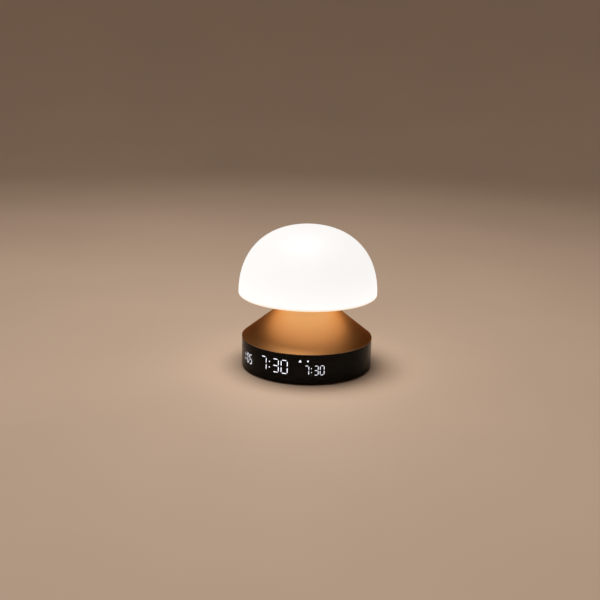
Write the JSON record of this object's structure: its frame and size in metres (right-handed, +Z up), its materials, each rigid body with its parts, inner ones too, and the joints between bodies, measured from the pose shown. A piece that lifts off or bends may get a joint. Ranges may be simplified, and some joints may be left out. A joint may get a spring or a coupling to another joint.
{
  "type": "sunrise alarm clock",
  "caption": "Sunrise alarm clock with a lit opal dome that presses down on a metal cone, over a smoked base band with seven-segment displays and rear buttons.",
  "frame": {"origin": "on the table under the centre of the round base", "axes": "+Z up through the dome, -Y the front with the main display, +Y the rear with the buttons"},
  "size_m": [0.1268, 0.1268, 0.1314],
  "materials": {
    "opal_dome": "opal translucent, satin",
    "copper_anodised": "satin, anodised copper bronze",
    "smoked_band": "smoked near-black gloss",
    "cover_black": "fine spark-eroded texture",
    "foot_rubber": "matt",
    "screw_steel": "zinc plated",
    "circuit_board": "green solder resist",
    "chip_black": "moulded epoxy",
    "connector_white": "moulded nylon",
    "cell_wrap": "shrink wrap over a metal can",
    "contact_nickel": "nickel plated",
    "gasket_foam": "closed-cell foam",
    "pressed_steel": "black zinc",
    "magnet_steel": "plated",
    "speaker_paper": "pressed paper",
    "mask_black": "matt black",
    "segment_lens": "diffusing clear, lit",
    "led_phosphor": "phosphor over white housing",
    "ribbon_film": "polyimide film",
    "socket_steel": "nickel plated",
    "carrier_white": "natural moulded plastic",
    "post_aluminium": "mill finish",
    "lamp_board_white": "white resist on metal core",
    "lead_red": "insulated wire",
    "spring_steel": "bright wire",
    "plunger_white": "moulded",
    "button_black": "satin"
  },
  "bodies": {
    "base": {"rubber_feet": "foot_rubber", "bottom_cover": "cover_black", "base_screws": "screw_steel", "display_ring": "smoked_band", "cone_body": "copper_anodised", "main_board": "circuit_board", "board_chips": "chip_black", "board_connectors": "connector_white", "battery_cell": "cell_wrap", "battery_cradle": "cover_black", "battery_contacts": "contact_nickel", "speaker_gasket": "gasket_foam", "speaker_frame": "pressed_steel", "speaker_magnet": "magnet_steel", "speaker_surround": "foot_rubber", "speaker_screws": "screw_steel", "time_display_mask": "mask_black", "time_display_segments": "segment_lens", "alarm_display_mask": "mask_black", "alarm_display_segments": "segment_lens", "alarm_display_icons": "segment_lens", "date_display_mask": "mask_black", "date_display_segments": "segment_lens", "display_board": "circuit_board", "display_leds": "led_phosphor", "display_frame": "cover_black", "display_ribbon": "ribbon_film", "rear_board": "circuit_board", "rear_switches": "chip_black", "usb_shell": "socket_steel", "usb_tongue": "chip_black", "neck_frame": "carrier_white", "neck_screws": "screw_steel", "led_post": "post_aluminium", "led_board": "lamp_board_white", "led_board_screws": "screw_steel", "led_emitters": "led_phosphor", "dome_switch": "chip_black", "led_lead": "lead_red", "battery_lead": "lead_red", "speaker_lead": "lead_red"},
    "dome": {"dome_shell": "opal_dome", "dome_floor": "opal_dome", "dome_carrier": "carrier_white", "carrier_screws": "screw_steel", "dome_spring": "spring_steel", "dome_switch_plunger": "plunger_white"},
    "speaker_diaphragm": {"speaker_cone": "speaker_paper"},
    "light_key": {"light_button": "button_black", "light_plunger": "plunger_white"},
    "minus_key": {"minus_button": "button_black", "minus_plunger": "plunger_white"},
    "alarm_key": {"alarm_button": "button_black", "alarm_plunger": "plunger_white"},
    "plus_key": {"plus_button": "button_black", "plus_plunger": "plunger_white"},
    "sound_key": {"sound_button": "button_black", "sound_plunger": "plunger_white"}
  },
  "joints": [
    {"name": "dome_press", "type": "slide", "parent": "base", "child": "dome", "axis": [0, 0, -1], "range_m": [0, 0.001], "stiffness_N_per_m": 700, "springref_m": -0.004, "deforming": ["dome_spring"]},
    {"name": "speaker_cone_travel", "type": "slide", "parent": "base", "child": "speaker_diaphragm", "axis": [0, 0, 1], "range_m": [-0.0004, 0.0004], "stiffness_N_per_m": 900},
    {"name": "light_button_press", "type": "slide", "parent": "base", "child": "light_key", "axis": [0, -1, 0], "range_m": [0, 0.0005], "stiffness_N_per_m": 1200, "springref_m": -0.0004},
    {"name": "minus_button_press", "type": "slide", "parent": "base", "child": "minus_key", "axis": [0, -1, 0], "range_m": [0, 0.0005], "stiffness_N_per_m": 1200, "springref_m": -0.0004},
    {"name": "alarm_button_press", "type": "slide", "parent": "base", "child": "alarm_key", "axis": [0, -1, 0], "range_m": [0, 0.0005], "stiffness_N_per_m": 1200, "springref_m": -0.0004},
    {"name": "plus_button_press", "type": "slide", "parent": "base", "child": "plus_key", "axis": [0, -1, 0], "range_m": [0, 0.0005], "stiffness_N_per_m": 1200, "springref_m": -0.0004},
    {"name": "sound_button_press", "type": "slide", "parent": "base", "child": "sound_key", "axis": [0, -1, 0], "range_m": [0, 0.0005], "stiffness_N_per_m": 1200, "springref_m": -0.0004}
  ]
}
